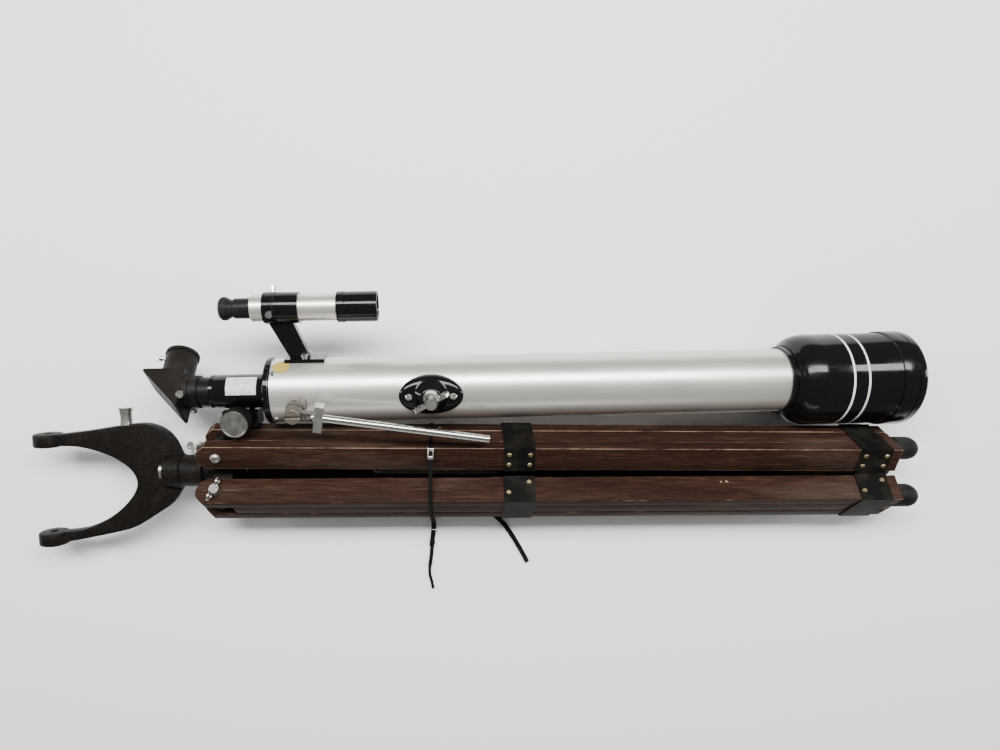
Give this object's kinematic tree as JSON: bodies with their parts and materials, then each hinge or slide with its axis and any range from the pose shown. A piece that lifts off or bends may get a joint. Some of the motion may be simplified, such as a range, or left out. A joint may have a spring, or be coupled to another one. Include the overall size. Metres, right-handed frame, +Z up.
{
  "type": "telescope on tripod",
  "caption": "Small silver refractor telescope with finder and star diagonal, lying beside its folded dark wooden tripod with a fork head.",
  "frame": {"origin": "centre of the set's bounding box, without the loose strap tails, on the surface that it lies on", "axes": "+X from the tripod head towards the feet and the dew shield, +Y from the tripod towards the telescope, +Z up"},
  "size_m": [0.8798, 0.3118, 0.1189],
  "materials": {
    "leg_wood": "dark mahogany stain, worn at the edges",
    "foot_rubber": "matt",
    "band_steel": "charcoal paint, worn edges",
    "brass_screws": "dull",
    "bright_metal": "bright plate, slightly worn",
    "wrinkle_paint": "black wrinkle paint",
    "silver_paint": "silver metallic paint",
    "gloss_black": "gloss black",
    "satin_black": "satin black",
    "knob_metal": "turned face, dark grip",
    "matte_black_plastic": "matt black",
    "lens_glass": "coated",
    "stud_metal": "knurled grey metal",
    "strap_fabric": "woven black"
  },
  "bodies": {
    "leg_3": {"leg_3_rails": "leg_wood", "leg_3_bands": "band_steel", "leg_3_band_screws": "brass_screws", "leg_3_hinge_bolt": "bright_metal", "strap_loop": "strap_fabric", "strap_buckle": "bright_metal", "strap_tail_long": "strap_fabric", "strap_tail_short": "strap_fabric"},
    "leg_1": {"leg_1_rails": "leg_wood", "leg_1_bands": "band_steel", "leg_1_band_screws": "brass_screws", "leg_1_hinge_bolt": "bright_metal"},
    "leg_2": {"leg_2_rails": "leg_wood", "leg_2_bands": "band_steel", "leg_2_band_screws": "brass_screws", "leg_2_hinge_bolt": "bright_metal"},
    "leg_1_extension": {"leg_1_slider": "leg_wood", "leg_1_foot": "foot_rubber"},
    "stay_1": {"leg_1_stay": "band_steel"},
    "wing_nut_1": {"leg_1_wing_nut": "bright_metal"},
    "leg_2_extension": {"leg_2_slider": "leg_wood", "leg_2_foot": "foot_rubber"},
    "stay_2": {"leg_2_stay": "band_steel"},
    "wing_nut_2": {"leg_2_wing_nut": "bright_metal"},
    "leg_3_extension": {"leg_3_slider": "leg_wood", "leg_3_foot": "foot_rubber"},
    "stay_3": {"leg_3_stay": "band_steel"},
    "wing_nut_3": {"leg_3_wing_nut": "bright_metal"},
    "head": {"head_casting": "wrinkle_paint", "clamp_screw": "bright_metal"},
    "fork": {"yoke_fork": "wrinkle_paint", "azimuth_collar": "wrinkle_paint", "rod_post": "bright_metal"},
    "telescope": {"main_tube": "silver_paint", "rear_cover": "gloss_black", "tube_screws": "bright_metal", "focuser_body": "gloss_black", "lens_cell": "gloss_black", "objective_lens": "lens_glass", "trunnion_plates": "gloss_black", "finder_bracket": "gloss_black", "finder_screws": "bright_metal", "finder_tube": "silver_paint", "finder_hood": "gloss_black", "finder_lens": "lens_glass", "rod_stud": "stud_metal"},
    "drawtube": {"drawtube": "satin_black", "focus_rack": "bright_metal"},
    "focus_shaft": {"focus_pinion": "bright_metal", "focus_knobs": "knob_metal"},
    "diagonal": {"diagonal_housing": "satin_black", "diagonal_prism": "lens_glass", "diagonal_screws": "bright_metal"},
    "finder_eyepiece": {"finder_eyepiece": "matte_black_plastic"},
    "dew_shield": {"dew_shield": "gloss_black"},
    "slow_rod": {"slow_motion_rod": "bright_metal"},
    "rod_clamp": {"rod_clamp": "bright_metal"},
    "upper_wing_bolt": {"upper_wing_bolt": "bright_metal"},
    "lower_wing_bolt": {"lower_wing_bolt": "bright_metal"}
  },
  "joints": [
    {"name": "legs_spread", "type": "hinge", "parent": "leg_3", "child": "head", "pos_m": [-0.24759, -0.05115, 0.0135], "axis": [0, -1, 0], "range_deg": [0, 24], "deforming": ["strap_loop", "strap_buckle"]},
    {"name": "leg_1_spread", "type": "hinge", "parent": "head", "child": "leg_1", "pos_m": [-0.24735, -0.02474, 0.05925], "axis": [0.0045, -0.5, 0.866], "range_deg": [0, 24]},
    {"name": "leg_2_spread", "type": "hinge", "parent": "head", "child": "leg_2", "pos_m": [-0.24735, -0.07756, 0.05925], "axis": [-0.0045, -0.5, -0.866], "range_deg": [0, 24]},
    {"name": "stay_1_fold", "type": "hinge", "parent": "leg_1", "child": "stay_1", "pos_m": [0.02251, -0.04042, 0.04878], "axis": [0.0045, -0.5, 0.866], "range_deg": [0, 36]},
    {"name": "leg_1_extend", "type": "slide", "parent": "leg_1", "child": "leg_1_extension", "axis": [1, -0.0045, -0.0079], "range_m": [0, 0.26]},
    {"name": "wing_nut_1_turn", "type": "hinge", "parent": "leg_1", "child": "wing_nut_1", "pos_m": [-0.24746, -0.01199, 0.03717], "axis": [-0.0045, 0.5, -0.866], "continuous": true},
    {"name": "stay_2_fold", "type": "hinge", "parent": "leg_2", "child": "stay_2", "pos_m": [0.02251, -0.06188, 0.04878], "axis": [-0.0045, -0.5, -0.866], "range_deg": [0, 36]},
    {"name": "leg_2_extend", "type": "slide", "parent": "leg_2", "child": "leg_2_extension", "axis": [1, 0.0045, -0.0079], "range_m": [0, 0.26]},
    {"name": "wing_nut_2_turn", "type": "hinge", "parent": "leg_2", "child": "wing_nut_2", "pos_m": [-0.24723, -0.06481, 0.08133], "axis": [0.0045, 0.5, 0.866], "continuous": true},
    {"name": "stay_3_fold", "type": "hinge", "parent": "leg_3", "child": "stay_3", "pos_m": [0.02241, -0.05115, 0.0302], "axis": [0, 1, 0], "range_deg": [0, 36]},
    {"name": "leg_3_extend", "type": "slide", "parent": "leg_3", "child": "leg_3_extension", "axis": [1, 0, 0], "range_m": [0, 0.26]},
    {"name": "wing_nut_3_turn", "type": "hinge", "parent": "leg_3", "child": "wing_nut_3", "pos_m": [-0.24759, -0.07665, 0.0135], "axis": [0, -1, 0], "continuous": true},
    {"name": "telescope_aside", "type": "slide", "parent": "leg_3", "child": "telescope", "axis": [0, 1, 0], "range_m": [0, 0.336]},
    {"name": "azimuth", "type": "hinge", "parent": "head", "child": "fork", "pos_m": [-0.29043, -0.05115, 0.04423], "axis": [-1, 0, 0.0052], "range_deg": [-170, 170]},
    {"name": "drawtube_slide", "type": "slide", "parent": "telescope", "child": "drawtube", "axis": [-0.9994, -0.0209, 0.0262], "range_m": [-0.0115, 0.034]},
    {"name": "focus_turn", "type": "hinge", "parent": "telescope", "child": "focus_shaft", "pos_m": [-0.2275, 0.00569, 0.05688], "axis": [0.0309, -0.275, 0.9609], "range_deg": [-83, 245]},
    {"name": "diagonal_turn_in_drawtube", "type": "hinge", "parent": "drawtube", "child": "diagonal", "pos_m": [-0.27428, 0.02788, 0.06473], "axis": [0.9994, 0.0209, -0.0262], "range_deg": [0, 120]},
    {"name": "rod_swing", "type": "hinge", "parent": "telescope", "child": "slow_rod", "pos_m": [-0.15225, 0.00567, 0.1096], "axis": [-0.1571, -0.8974, -0.4124], "range_deg": [0, 90]},
    {"name": "rod_clamp_slide", "type": "slide", "parent": "slow_rod", "child": "rod_clamp", "axis": [0.987, -0.1289, -0.0955], "range_m": [0, 0.07]},
    {"name": "finder_focus", "type": "slide", "parent": "telescope", "child": "finder_eyepiece", "axis": [-0.9994, -0.0209, 0.0262], "range_m": [0, 0.006]},
    {"name": "dew_shield_slide", "type": "slide", "parent": "telescope", "child": "dew_shield", "axis": [0.9994, 0.0209, -0.0262], "range_m": [0, 0.06]},
    {"name": "upper_wing_bolt_turn", "type": "hinge", "parent": "telescope", "child": "upper_wing_bolt", "pos_m": [-0.04013, 0.01865, 0.10794], "axis": [0.0309, -0.275, 0.9609], "continuous": true},
    {"name": "lower_wing_bolt_turn", "type": "hinge", "parent": "telescope", "child": "lower_wing_bolt", "pos_m": [-0.0433, 0.04687, 0.00935], "axis": [-0.0309, 0.275, -0.9609], "range_deg": [-30, 30]}
  ],
  "couplings": [
    {"joint": "leg_1_spread", "follows": "legs_spread", "ratio": 1},
    {"joint": "leg_2_spread", "follows": "legs_spread", "ratio": 1},
    {"joint": "stay_1_fold", "follows": "legs_spread", "ratio": 1.5},
    {"joint": "stay_2_fold", "follows": "legs_spread", "ratio": 1.5},
    {"joint": "stay_3_fold", "follows": "legs_spread", "ratio": 1.5},
    {"joint": "telescope_aside", "follows": "legs_spread", "m_per_rad": 0.8},
    {"joint": "focus_turn", "follows": "drawtube_slide", "rad_per_m": 125}
  ]
}
